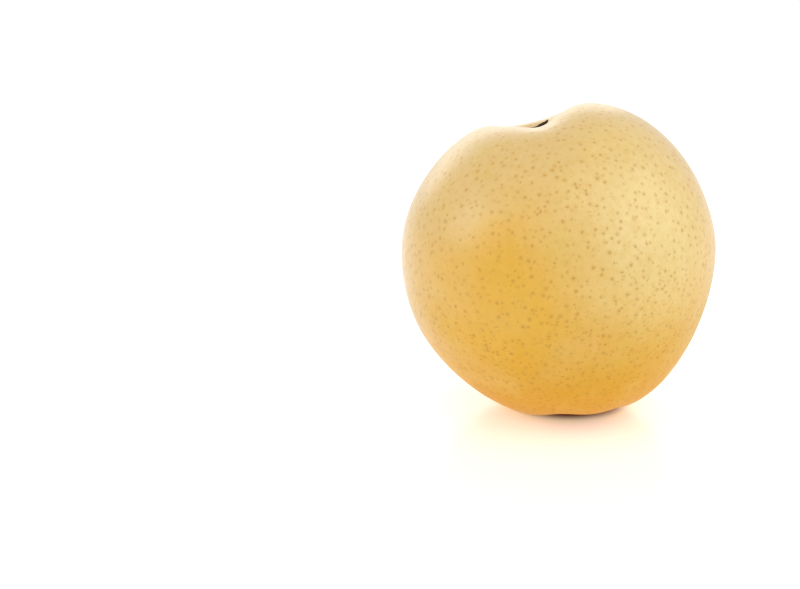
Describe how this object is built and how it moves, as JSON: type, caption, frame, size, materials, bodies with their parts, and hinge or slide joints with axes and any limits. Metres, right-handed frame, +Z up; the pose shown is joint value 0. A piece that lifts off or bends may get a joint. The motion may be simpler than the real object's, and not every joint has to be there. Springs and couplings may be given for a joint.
{
  "type": "asian pear",
  "caption": "Whole round yellow Asian pear with a freckled skin, a broken woody stem in its cavity and a dried calyx underneath.",
  "frame": {"origin": "middle of the flat resting spot, on the surface that the pear stands on", "axes": "+Z up, -Y towards the viewer, +X to the right; the stem leans 10 degrees to -X and 11.5 degrees to +Y"},
  "size_m": [0.0901, 0.0903, 0.0891],
  "materials": {
    "pear_skin": "smooth waxy yellow skin with small brown freckles, softly glossy",
    "stem_wood": "rough, very dark brown, broken at the end",
    "dry_sepal": "dry, papery, brown with dark edges",
    "dry_stamens": "dry, fibrous, nearly black"
  },
  "bodies": {
    "root": {"fruit": "pear_skin", "stem": "stem_wood", "sepal_1": "dry_sepal", "sepal_2": "dry_sepal", "sepal_3": "dry_sepal", "sepal_4": "dry_sepal", "sepal_5": "dry_sepal", "stamens": "dry_stamens"}
  },
  "joints": []
}
